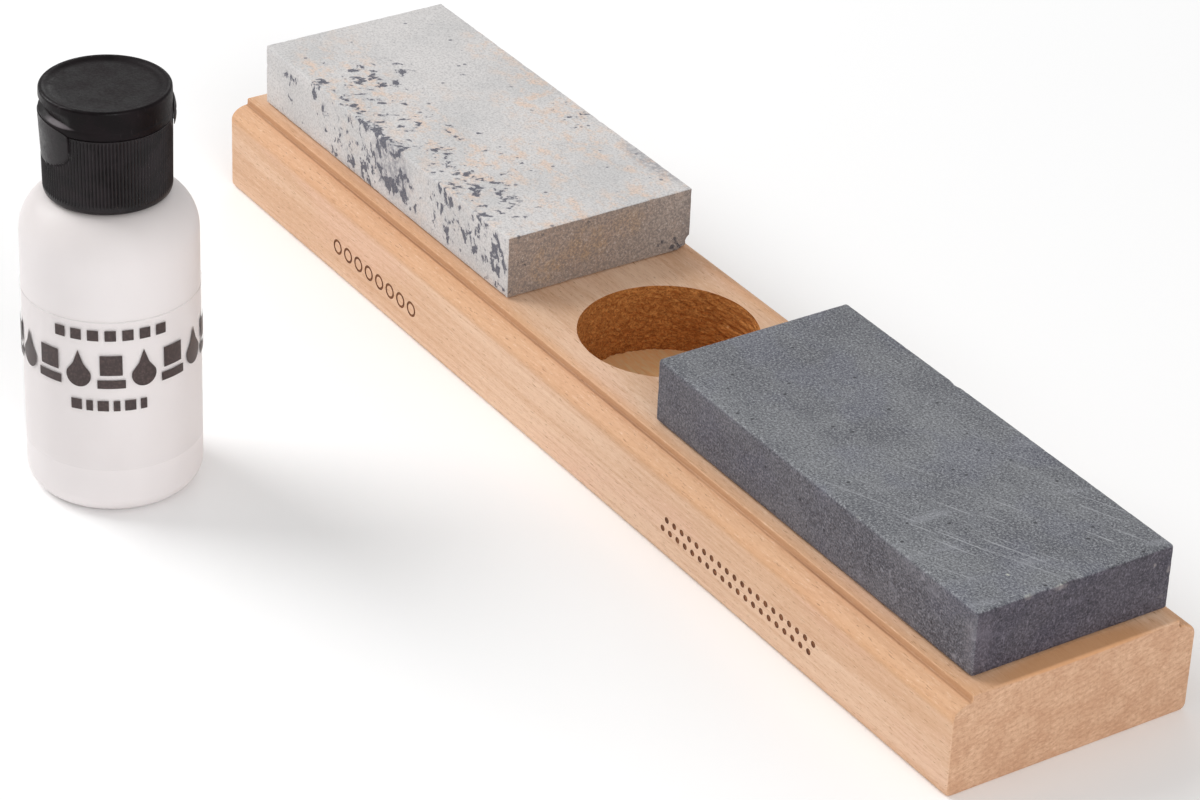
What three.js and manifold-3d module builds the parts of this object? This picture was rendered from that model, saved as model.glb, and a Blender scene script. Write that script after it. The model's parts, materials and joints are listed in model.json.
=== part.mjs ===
// A two-stone sharpening kit: a wooden block with a soft and a hard oilstone glued on it, a bored pocket
// between them, and a flip-top bottle of honing oil that stands beside the block.
// Millimetres. +X runs along the block towards the hard stone, -Y is the marked side, +Z is up.
// The origin is the centre of the block's underside, on the table.
import * as THREE from "three";
import { mergeVertices } from "three/addons/utils/BufferGeometryUtils.js";
import Module from "manifold-3d";

// ---- Block ----
const BLOCK_LENGTH = 244;
const BLOCK_WIDTH = 51;
const BLOCK_HEIGHT = 19.3;
const FLAT_HALF_WIDTH = 21.8; // the raised flat on the top
const STEP_HEIGHT = 1.3; // the small drop at each side of the flat
const ROUND_OVER_HEIGHT = 2.6; // the rounded band below the step
const BOTTOM_EASE = 1; // chamfer along the two bottom edges

// ---- Pocket for the bottle ----
const POCKET_RADIUS = 17.1;
const POCKET_DEPTH = 13.9;
const POCKET_X = -0.4;
const POCKET_Y = 0.7;

// ---- Stones and the glue under them ----
const STONE_LENGTH = 93;
const STONE_WIDTH = 41.2;
const STONE_HEIGHT = 12.7;
const STONE_EASE = 0.4; // small bevel on every edge
const STONE_Y = 1.2;
const SOFT_STONE_X = -71.5;
const HARD_STONE_X = 71.8;
const GLUE_THICKNESS = 0.3;
const GLUE_INSET = 1;

// ---- Bottle ----
const BOTTLE_X = -34.8;
const BOTTLE_Y = -96.6;
const BODY_RADIUS = 15.9;
const WALL = 0.8;
const BASE_EDGE_RADIUS = 4;
const BASE_PUSH_UP = 0.9; // how far the middle of the base is pushed up
const SHOULDER_START_Z = 50.5;
const SHOULDER_HEIGHT = 8;
const NECK_RADIUS = 9.1;
const NECK_BORE_RADIUS = 7;
const RIM_Z = 71;
const LABEL_BOTTOM_Z = 10;
const LABEL_TOP_Z = 40.3;
const LABEL_THICKNESS = 0.2;
const OIL_LEVEL_Z = 44;

// ---- Thread: 1.5 turns, right-handed ----
const THREAD_PITCH = 3.175;
const THREAD_TURNS = 1.5;
const THREAD_DEPTH = 0.85;
const THREAD_ROOT_WIDTH = 1.2;
const THREAD_CREST_WIDTH = 0.6;
const THREAD_START_Z = 62.6;

// ---- Cap, lid and hinge ----
const SKIRT_BOTTOM_Z = 58.8;
const SKIRT_RADIUS = 11.6;
const SKIRT_BORE_RADIUS = 10.35;
const DECK_TOP_Z = 73.1;
const SEAL_THICKNESS = 0.9;
const SEAL_RADIUS = 9.7;
const SEAL_HOLE_RADIUS = 2.2;
const ORIFICE_RADIUS = 1.6;
const SPOUT_RADIUS = 2.8;
const SPOUT_HEIGHT = 1.2;
const LID_BOTTOM_Z = 73.4;
const LID_TOP_Z = 78.8;
const LID_RADIUS = 11.7;
const LID_WALL = 1.3;
const LID_DISH = 0.8; // how far the middle of the lid's top is dished
const PIN_RADIUS = 1.15;
const THUMB_AZIMUTH = THREE.MathUtils.degToRad(-101.1);
const THUMB_HALF_ANGLE = THREE.MathUtils.degToRad(40);
const THUMB_SHOULDER_Z = 73.1; // where the panel's sides end and its arched top starts
const THUMB_ARCH = 1.2; // the arched top rises this much into a notch in the lid
const THUMB_CLEARANCE = 0.15; // between the panel's arch and the lid's notch
const THUMB_STRAIGHT_Z = 70.3; // the panel's sides are straight down to here
const THUMB_BOTTOM_Z = 66;
const THUMB_RADIUS = 11.8;
// The nail scoop in the lid's wall leaves a lip below it to lift the lid by.
const SCOOP_FLOOR_RADIUS = 10.9;
const SCOOP_BOTTOM_Z = 75;
const SCOOP_TOP_Z = 76.9;
const HINGE_AZIMUTH = THUMB_AZIMUTH + Math.PI;
const HINGE_HALF_ANGLE = THREE.MathUtils.degToRad(24);
const HINGE_INNER_RADIUS = 11.8;
const HINGE_OUTER_RADIUS = 12.3;
const HINGE_BOTTOM_Z = 70.7;
const HINGE_TOP_Z = 76;

const ROUND_SEGMENTS = 48; // facets round the bottle and the cap
const POCKET_SEGMENTS = 64;

const wasm = await Module();
wasm.setup();

// ---- Geometry helpers ----

// A closed geometry as a manifold solid, with its shared vertices merged.
function solidOf(geometry) {
  const bare = geometry.clone();
  bare.deleteAttribute("normal");
  bare.deleteAttribute("uv");
  const merged = mergeVertices(bare, 1e-4);
  return new wasm.Manifold(
    new wasm.Mesh({
      numProp: 3,
      vertProperties: merged.attributes.position.array,
      triVerts: new Uint32Array(merged.index.array),
    }),
  );
}

function geometryOf(solid) {
  const mesh = solid.getMesh();
  const geometry = new THREE.BufferGeometry();
  geometry.setAttribute("position", new THREE.BufferAttribute(mesh.vertProperties, 3));
  geometry.setIndex(new THREE.BufferAttribute(mesh.triVerts, 1));
  geometry.computeVertexNormals();
  return geometry;
}

// A solid of revolution about Z. The profile is a list of Vector2 (radius, z), running anticlockwise.
function turned(profile, segments = ROUND_SEGMENTS) {
  const geometry = new THREE.LatheGeometry(profile, segments);
  geometry.rotateX(Math.PI / 2);
  return geometry;
}

function closed(profile) {
  return [...profile, profile[0].clone()];
}

const at = (radius, z) => new THREE.Vector2(radius, z);

// Points on an ellipse about (cx, cz), from one angle to another, both in radians.
function arc(cx, cz, radiusX, radiusZ, from, to, steps) {
  const points = [];
  for (let i = 0; i <= steps; i++) {
    const angle = from + ((to - from) * i) / steps;
    points.push(at(cx + radiusX * Math.cos(angle), cz + radiusZ * Math.sin(angle)));
  }
  return points;
}

// A cylinder standing on z = bottom.
function cylinder(radius, bottom, top, segments = ROUND_SEGMENTS) {
  return turned([at(0, bottom), at(radius, bottom), at(radius, top), at(0, top)], segments);
}

// A shape drawn in (Y, Z), extruded along X about the middle of its length.
function alongX(shape, length) {
  const geometry = new THREE.ExtrudeGeometry(shape, { depth: length, bevelEnabled: false });
  const turn = new THREE.Matrix4().makeBasis(
    new THREE.Vector3(0, 1, 0),
    new THREE.Vector3(0, 0, 1),
    new THREE.Vector3(1, 0, 0),
  );
  geometry.applyMatrix4(turn);
  geometry.translate(-length / 2, 0, 0);
  return geometry;
}

// Part of a ring about Z, between two radii and two azimuths.
function ringSector(innerRadius, outerRadius, middle, halfAngle, bottom, top) {
  const shape = new THREE.Shape();
  shape.absarc(0, 0, outerRadius, middle - halfAngle, middle + halfAngle, false);
  shape.absarc(0, 0, innerRadius, middle + halfAngle, middle - halfAngle, true);
  shape.closePath();
  const geometry = new THREE.ExtrudeGeometry(shape, {
    depth: top - bottom,
    bevelEnabled: false,
    curveSegments: 10,
  });
  geometry.translate(0, 0, bottom);
  return geometry;
}

// A helix about Z whose section keeps its first axis pointing away from Z.
class Helix extends THREE.Curve {
  constructor(radius, startZ, turns) {
    super();
    this.radius = radius;
    this.startZ = startZ;
    this.turns = turns;
  }

  getPoint(t, target = new THREE.Vector3()) {
    const angle = 2 * Math.PI * this.turns * t;
    const z = this.startZ + THREAD_PITCH * this.turns * t;
    return target.set(this.radius * Math.cos(angle), this.radius * Math.sin(angle), z);
  }

  computeFrenetFrames(segments) {
    const tangents = [];
    const normals = [];
    const binormals = [];
    for (let i = 0; i <= segments; i++) {
      const angle = (2 * Math.PI * this.turns * i) / segments;
      const rise = THREAD_PITCH / (2 * Math.PI);
      const run = new THREE.Vector3(-Math.sin(angle), Math.cos(angle), 0).multiplyScalar(this.radius);
      const tangent = run.setZ(rise).normalize();
      const normal = new THREE.Vector3(Math.cos(angle), Math.sin(angle), 0);
      tangents.push(tangent);
      normals.push(normal);
      binormals.push(new THREE.Vector3().crossVectors(tangent, normal));
    }
    return { tangents, normals, binormals };
  }
}

// A thread ridge. Its root lies at rootRadius and its crest at crestRadius, inside or outside.
function threadRidge(rootRadius, crestRadius, startZ) {
  const sink = Math.sign(rootRadius - crestRadius) * 0.3; // how far the root is sunk into its wall
  const height = crestRadius - rootRadius;
  const section = new THREE.Shape([
    at(sink, -THREAD_ROOT_WIDTH / 2),
    at(height, -THREAD_CREST_WIDTH / 2),
    at(height, THREAD_CREST_WIDTH / 2),
    at(sink, THREAD_ROOT_WIDTH / 2),
  ]);
  return new THREE.ExtrudeGeometry(section, {
    steps: 48,
    bevelEnabled: false,
    extrudePath: new Helix(rootRadius, startZ, THREAD_TURNS),
  });
}

// ---- Pieces ----

function baseBlock() {
  const half = BLOCK_WIDTH / 2;
  const shoulderZ = BLOCK_HEIGHT - STEP_HEIGHT;
  const bandZ = shoulderZ - ROUND_OVER_HEIGHT;
  const bandWidth = half - FLAT_HALF_WIDTH;
  const roundOver = arc(FLAT_HALF_WIDTH, bandZ, bandWidth, ROUND_OVER_HEIGHT, 0, Math.PI / 2, 6);
  const right = [
    at(half - BOTTOM_EASE, 0),
    at(half, BOTTOM_EASE),
    ...roundOver,
    at(FLAT_HALF_WIDTH, BLOCK_HEIGHT),
  ];
  const left = right.map((point) => at(-point.x, point.y)).reverse();
  const stick = solidOf(alongX(new THREE.Shape([...right, ...left]), BLOCK_LENGTH));
  const pocketFloor = BLOCK_HEIGHT - POCKET_DEPTH;
  const bore = cylinder(POCKET_RADIUS, pocketFloor, BLOCK_HEIGHT + 5, POCKET_SEGMENTS);
  bore.translate(POCKET_X, POCKET_Y, 0);
  return geometryOf(stick.subtract(solidOf(bore)));
}

function stone(centreX) {
  const halfLength = STONE_LENGTH / 2 - STONE_EASE;
  const halfWidth = STONE_WIDTH / 2 - STONE_EASE;
  const outline = new THREE.Shape([
    at(-halfLength, -halfWidth),
    at(halfLength, -halfWidth),
    at(halfLength, halfWidth),
    at(-halfLength, halfWidth),
  ]);
  const geometry = new THREE.ExtrudeGeometry(outline, {
    depth: STONE_HEIGHT - 2 * STONE_EASE,
    bevelThickness: STONE_EASE,
    bevelSize: STONE_EASE,
    bevelSegments: 1,
  });
  geometry.translate(centreX, STONE_Y, BLOCK_HEIGHT + GLUE_THICKNESS + STONE_EASE);
  return geometry;
}

function glueBed(centreX) {
  const geometry = new THREE.BoxGeometry(
    STONE_LENGTH - 2 * GLUE_INSET,
    STONE_WIDTH - 2 * GLUE_INSET,
    GLUE_THICKNESS,
  );
  geometry.translate(centreX, STONE_Y, BLOCK_HEIGHT + GLUE_THICKNESS / 2);
  return geometry;
}

// The bottle's outer or inner surface from the middle of the base up to the neck, moved in by an offset.
function bottleSurface(offset, neckRadius) {
  const body = BODY_RADIUS - offset;
  const edge = BASE_EDGE_RADIUS - offset / 2;
  const footRadius = body - edge;
  const shoulderWidth = body - neckRadius;
  return [
    at(0, BASE_PUSH_UP + offset),
    at(footRadius - 2, BASE_PUSH_UP + offset),
    ...arc(footRadius, edge + offset, edge, edge, -Math.PI / 2, 0, 5),
    ...arc(neckRadius, SHOULDER_START_Z, shoulderWidth, SHOULDER_HEIGHT - offset, 0, Math.PI / 2, 9),
  ];
}

function bottleBody() {
  const outside = bottleSurface(0, NECK_RADIUS);
  const inside = bottleSurface(WALL, NECK_BORE_RADIUS);
  const profile = [...outside, at(NECK_RADIUS, RIM_Z), at(NECK_BORE_RADIUS, RIM_Z), ...inside.reverse()];
  const shell = solidOf(turned(profile));
  const ridge = threadRidge(NECK_RADIUS, NECK_RADIUS + THREAD_DEPTH, THREAD_START_Z);
  return geometryOf(shell.add(solidOf(ridge)));
}

function bottleLabel() {
  const clearance = 0.1;
  const inner = BODY_RADIUS + clearance;
  const outer = inner + LABEL_THICKNESS;
  return turned(
    closed([
      at(inner, LABEL_BOTTOM_Z),
      at(outer, LABEL_BOTTOM_Z),
      at(outer, LABEL_TOP_Z),
      at(inner, LABEL_TOP_Z),
    ]),
  );
}

// The oil fills the bottle up to its level, just clear of the wall.
function honingOil() {
  const clearance = 0.15;
  const belowShoulder = bottleSurface(WALL + clearance, NECK_BORE_RADIUS).filter((p) => p.y < OIL_LEVEL_Z);
  const edge = belowShoulder[belowShoulder.length - 1];
  return turned([...belowShoulder, at(edge.x, OIL_LEVEL_Z), at(0, OIL_LEVEL_Z)]);
}

function capSealRing() {
  const top = RIM_Z + SEAL_THICKNESS;
  const section = [
    at(SEAL_HOLE_RADIUS, RIM_Z),
    at(SEAL_RADIUS, RIM_Z),
    at(SEAL_RADIUS, top),
    at(SEAL_HOLE_RADIUS, top),
  ];
  return turned(closed(section));
}

// The outline of the thumb panel, in (distance round the cap, z), grown by a margin on every side.
function thumbOutline(margin) {
  const halfWidth = THUMB_RADIUS * Math.sin(THUMB_HALF_ANGLE) + margin;
  const roundHeight = THUMB_STRAIGHT_Z - THUMB_BOTTOM_Z + margin;
  const archHeight = THUMB_ARCH + margin;
  const bottom = arc(0, THUMB_STRAIGHT_Z, halfWidth, roundHeight, Math.PI, 2 * Math.PI, 10);
  const top = arc(0, THUMB_SHOULDER_Z, halfWidth, archHeight, 0, Math.PI, 10);
  return new THREE.Shape([...bottom, ...top]);
}

// The panel's outline pushed out through the cap's wall, from inside the skirt.
function thumbPrism(margin) {
  const innerDistance = SKIRT_BORE_RADIUS * Math.cos(THUMB_HALF_ANGLE) - margin;
  const extrusion = { depth: THUMB_RADIUS, bevelEnabled: false };
  const prism = new THREE.ExtrudeGeometry(thumbOutline(margin), extrusion);
  const outward = new THREE.Vector3(Math.cos(THUMB_AZIMUTH), Math.sin(THUMB_AZIMUTH), 0);
  const up = new THREE.Vector3(0, 0, 1);
  const across = new THREE.Vector3().crossVectors(up, outward);
  prism.applyMatrix4(new THREE.Matrix4().makeBasis(across, up, outward));
  prism.translate(outward.x * innerDistance, outward.y * innerDistance, 0);
  return solidOf(prism);
}

// The thumb panel: kept within a round of THUMB_RADIUS, clear of the skirt's bore.
function thumbPanel() {
  const top = THUMB_SHOULDER_Z + THUMB_ARCH + 1;
  const round = cylinder(THUMB_RADIUS, SKIRT_BOTTOM_Z, top);
  const bore = cylinder(SKIRT_BORE_RADIUS + 0.3, SKIRT_BOTTOM_Z - 1, top + 1);
  return thumbPrism(0).intersect(solidOf(round)).subtract(solidOf(bore));
}

function capBody() {
  const deckBottom = RIM_Z + SEAL_THICKNESS;
  const profile = closed([
    at(ORIFICE_RADIUS, deckBottom),
    at(SKIRT_BORE_RADIUS, deckBottom),
    at(SKIRT_BORE_RADIUS, SKIRT_BOTTOM_Z),
    at(SKIRT_RADIUS, SKIRT_BOTTOM_Z),
    at(SKIRT_RADIUS, DECK_TOP_Z),
    at(SPOUT_RADIUS, DECK_TOP_Z),
    at(SPOUT_RADIUS, DECK_TOP_Z + SPOUT_HEIGHT),
    at(ORIFICE_RADIUS, DECK_TOP_Z + SPOUT_HEIGHT),
  ]);
  const shell = solidOf(turned(profile));
  // The cap's ridge runs half a pitch from the neck's ridge, so the two never meet.
  const ridgeStart = THREAD_START_Z - THREAD_PITCH / 2;
  const ridge = threadRidge(SKIRT_BORE_RADIUS, SKIRT_BORE_RADIUS - THREAD_DEPTH, ridgeStart);
  return geometryOf(shell.add(solidOf(ridge)).add(thumbPanel()));
}

function capLid() {
  const innerRadius = LID_RADIUS - LID_WALL;
  const ceiling = LID_TOP_Z - LID_DISH - LID_WALL;
  const pinEnd = DECK_TOP_Z - 0.4;
  const rimWidth = 1.1;
  const edge = 0.5; // rounding of the lid's outer top edge
  const body = turned([
    at(0, pinEnd),
    at(PIN_RADIUS, pinEnd),
    at(PIN_RADIUS, ceiling),
    at(innerRadius, ceiling),
    at(innerRadius, LID_BOTTOM_Z),
    at(LID_RADIUS, LID_BOTTOM_Z),
    ...arc(LID_RADIUS - edge, LID_TOP_Z - edge, edge, edge, 0, Math.PI / 2, 3),
    at(LID_RADIUS - rimWidth, LID_TOP_Z),
    at(LID_RADIUS - rimWidth - 1, LID_TOP_Z - LID_DISH),
    at(0, LID_TOP_Z - LID_DISH),
  ]);
  const nailScoop = ringSector(
    SCOOP_FLOOR_RADIUS,
    LID_RADIUS + 1,
    THUMB_AZIMUTH,
    THUMB_HALF_ANGLE,
    SCOOP_BOTTOM_Z,
    SCOOP_TOP_Z,
  );
  const thumbNotch = thumbPrism(THUMB_CLEARANCE);
  return geometryOf(solidOf(body).subtract(solidOf(nailScoop)).subtract(thumbNotch));
}

function hingeStrap() {
  return ringSector(
    HINGE_INNER_RADIUS,
    HINGE_OUTER_RADIUS,
    HINGE_AZIMUTH,
    HINGE_HALF_ANGLE,
    HINGE_BOTTOM_Z,
    HINGE_TOP_Z,
  );
}

// ---- Assembly ----

const finishes = {
  wood: new THREE.MeshStandardMaterial({ color: 0xd9a87c, roughness: 0.62, metalness: 0 }),
  paleStone: new THREE.MeshStandardMaterial({ color: 0xc9c6c3, roughness: 0.85, metalness: 0 }),
  darkStone: new THREE.MeshStandardMaterial({ color: 0x5d6068, roughness: 0.8, metalness: 0 }),
  glue: new THREE.MeshStandardMaterial({ color: 0x6b4a34, roughness: 0.5, metalness: 0 }),
  milkyPlastic: new THREE.MeshStandardMaterial({ color: 0xe6e4e2, roughness: 0.4, metalness: 0 }),
  labelFilm: new THREE.MeshStandardMaterial({ color: 0xf2f0ee, roughness: 0.25, metalness: 0 }),
  oil: new THREE.MeshStandardMaterial({ color: 0xf0ead8, roughness: 0.1, metalness: 0 }),
  foam: new THREE.MeshStandardMaterial({ color: 0xf4f4f2, roughness: 0.9, metalness: 0 }),
  blackPlastic: new THREE.MeshStandardMaterial({ color: 0x1b191b, roughness: 0.42, metalness: 0 }),
};

function piece(name, geometry, finish) {
  const mesh = new THREE.Mesh(geometry, finish.clone());
  mesh.name = name;
  return mesh;
}

const block = new THREE.Group();
block.add(
  piece("base_block", baseBlock(), finishes.wood),
  piece("soft_stone_adhesive", glueBed(SOFT_STONE_X), finishes.glue),
  piece("hard_stone_adhesive", glueBed(HARD_STONE_X), finishes.glue),
  piece("soft_stone", stone(SOFT_STONE_X), finishes.paleStone),
  piece("hard_stone", stone(HARD_STONE_X), finishes.darkStone),
);

const bottle = new THREE.Group();
bottle.position.set(BOTTLE_X, BOTTLE_Y, 0);
bottle.add(
  piece("bottle_body", bottleBody(), finishes.milkyPlastic),
  piece("bottle_label", bottleLabel(), finishes.labelFilm),
  piece("honing_oil", honingOil(), finishes.oil),
  piece("cap_seal_ring", capSealRing(), finishes.foam),
  piece("cap_body", capBody(), finishes.blackPlastic),
  piece("cap_lid", capLid(), finishes.blackPlastic),
  piece("hinge_strap", hingeStrap(), finishes.blackPlastic),
);

const kit = new THREE.Group();
kit.name = "sharpening_stone_kit";
kit.add(block, bottle);

export default kit;
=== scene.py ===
"""Looks for a two-stone sharpening kit: a wooden block, two oilstones and a bottle of honing oil."""
import json
import math

import bmesh
import bpy
from mathutils import Matrix, Vector, noise


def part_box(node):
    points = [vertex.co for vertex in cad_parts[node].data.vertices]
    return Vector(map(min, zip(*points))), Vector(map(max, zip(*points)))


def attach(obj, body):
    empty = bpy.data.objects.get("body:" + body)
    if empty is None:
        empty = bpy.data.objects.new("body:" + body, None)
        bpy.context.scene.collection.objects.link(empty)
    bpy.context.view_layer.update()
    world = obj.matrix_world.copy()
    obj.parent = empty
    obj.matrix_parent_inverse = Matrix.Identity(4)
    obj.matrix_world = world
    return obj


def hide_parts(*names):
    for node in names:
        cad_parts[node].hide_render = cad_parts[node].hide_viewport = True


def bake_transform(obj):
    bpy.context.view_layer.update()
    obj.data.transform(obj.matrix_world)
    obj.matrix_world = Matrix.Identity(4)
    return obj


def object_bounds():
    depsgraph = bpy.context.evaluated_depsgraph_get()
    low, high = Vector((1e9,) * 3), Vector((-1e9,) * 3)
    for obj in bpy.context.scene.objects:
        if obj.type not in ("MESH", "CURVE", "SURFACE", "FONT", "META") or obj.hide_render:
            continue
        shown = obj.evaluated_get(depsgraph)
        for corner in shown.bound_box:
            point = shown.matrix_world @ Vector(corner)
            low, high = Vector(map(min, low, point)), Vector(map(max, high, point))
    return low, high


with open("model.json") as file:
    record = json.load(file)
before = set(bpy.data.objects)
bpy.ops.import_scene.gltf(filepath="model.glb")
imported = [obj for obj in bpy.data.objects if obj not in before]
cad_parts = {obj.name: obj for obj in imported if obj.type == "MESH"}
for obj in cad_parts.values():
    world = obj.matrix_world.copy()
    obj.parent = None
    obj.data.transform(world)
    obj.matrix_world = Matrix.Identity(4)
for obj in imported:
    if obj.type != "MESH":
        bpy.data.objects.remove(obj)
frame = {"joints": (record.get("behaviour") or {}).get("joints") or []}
cad_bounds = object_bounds()

MM = 0.001


def corners_of(node):
    """The low and high corners of a CAD node's box."""
    low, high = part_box(node)
    return Vector(low), Vector(high)


# ---- Where the frame puts things ----
BLOCK_LOW, BLOCK_HIGH = corners_of("base_block")
BOTTLE_LOW, BOTTLE_HIGH = corners_of("bottle_body")
CAP_LOW, CAP_HIGH = corners_of("cap_body")
LID_LOW, LID_HIGH = corners_of("cap_lid")
SEAL_LOW, SEAL_HIGH = corners_of("cap_seal_ring")
LABEL_LOW, LABEL_HIGH = corners_of("bottle_label")
OIL_LEVEL = corners_of("honing_oil")[1].z
BOTTLE_AXIS = Vector(((BOTTLE_LOW.x + BOTTLE_HIGH.x) / 2, (BOTTLE_LOW.y + BOTTLE_HIGH.y) / 2, 0))
JOINTS = {joint["name"]: joint for joint in frame["joints"]}
HINGE_POINT = Vector(JOINTS["lid_flip"]["pos_m"])
HINGE_AZIMUTH = math.atan2(HINGE_POINT.y - BOTTLE_AXIS.y, HINGE_POINT.x - BOTTLE_AXIS.x)
THUMB_AZIMUTH = HINGE_AZIMUTH - math.pi


# ---- Mesh helpers ----

def new_object(name, bm, materials):
    """A mesh object from a bmesh, with its faces turned outwards."""
    bmesh.ops.recalc_face_normals(bm, faces=bm.faces)
    mesh = bpy.data.meshes.new(name)
    bm.to_mesh(mesh)
    bm.free()
    for material in materials:
        mesh.materials.append(material)
    obj = bpy.data.objects.new(name, mesh)
    bpy.context.scene.collection.objects.link(obj)
    return obj


def shade(obj, sharp_angle=math.radians(32)):
    """Smooth shading, with edges left sharp where the surface turns by more than an angle."""
    obj.data.shade_smooth()
    obj.data.set_sharp_from_angle(angle=sharp_angle)


def settle(obj, body, slot, *nodes):
    """The piece rides on a body and stands for CAD nodes. Its slot is not used."""
    shade(obj)
    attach(obj, body)
    if nodes:
        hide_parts(*nodes)


def boolean(target, cutter, operation):
    """Applies a boolean with another object, whose faces keep their material, and removes that object."""
    modifier = target.modifiers.new("boolean", "BOOLEAN")
    modifier.operation = operation
    modifier.solver = "EXACT"
    modifier.material_mode = "TRANSFER"
    modifier.object = cutter
    graph = bpy.context.evaluated_depsgraph_get()
    mesh = bpy.data.meshes.new_from_object(target.evaluated_get(graph))
    target.modifiers.clear()
    target.data = mesh
    bpy.data.objects.remove(cutter)


def arc(centre, radius, start, end, steps):
    """Points on a circle, or on an ellipse of two radii, from one angle to another in degrees."""
    wide, high = radius if isinstance(radius, tuple) else (radius, radius)
    points = []
    for i in range(steps + 1):
        angle = math.radians(start + (end - start) * i / steps)
        points.append((centre[0] + wide * math.cos(angle), centre[1] + high * math.sin(angle)))
    return points


def rows(start, end, step):
    """Points along a straight wall, evenly spaced, both ends included."""
    count = max(1, round(math.dist(start, end) / step))
    return [
        (start[0] + (end[0] - start[0]) * i / count, start[1] + (end[1] - start[1]) * i / count)
        for i in range(count + 1)
    ]


def bridge(bm, low, high, closed=True):
    """Faces between two rows of vertices. A row of one vertex makes a fan."""
    count = max(len(low), len(high))
    for i in range(count if closed else count - 1):
        j = (i + 1) % count
        corners = (low[i % len(low)], low[j % len(low)], high[j % len(high)], high[i % len(high)])
        bm.faces.new(list(dict.fromkeys(corners)))


def around(centre, angle, r, z):
    """The point at an angle and a distance r round an upright axis."""
    return Vector((centre.x + r * math.cos(angle), centre.y + r * math.sin(angle), z))


def turned(name, profile, segments, material, centre=BOTTLE_AXIS, reshape=None, closed=False):
    """A surface of revolution. reshape(angle, r, z) gives each point's own r and z."""
    bm = bmesh.new()
    rings = []
    for r, z in profile:
        ring = []
        for i in range(segments if r > 0 else 1):
            angle = 2 * math.pi * i / segments
            own_r, own_z = reshape(angle, r, z) if reshape and r > 0 else (r, z)
            ring.append(bm.verts.new(around(centre, angle, own_r, own_z)))
        rings.append(ring)
    if closed:
        rings.append(rings[0])
    for low, high in zip(rings, rings[1:]):
        bridge(bm, low, high)
    return new_object(name, bm, [material])


def prism(bm, outline, depth_low, depth_high, place):
    """Extrudes a 2D outline between two depths. place(u, v, depth) gives each point in space."""
    low = [bm.verts.new(place(u, v, depth_low)) for u, v in outline]
    high = [bm.verts.new(place(u, v, depth_high)) for u, v in outline]
    bm.faces.new(low[::-1])
    bm.faces.new(high)
    bridge(bm, low, high)


def smoothstep(low, high, value):
    t = min(1.0, max(0.0, (value - low) / (high - low)))
    return t * t * (3 - 2 * t)


def turn_between(angle, middle):
    """The signed angle from middle to angle, within half a turn."""
    return (angle - middle + math.pi) % (2 * math.pi) - math.pi


# ---- Material helpers ----

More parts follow.
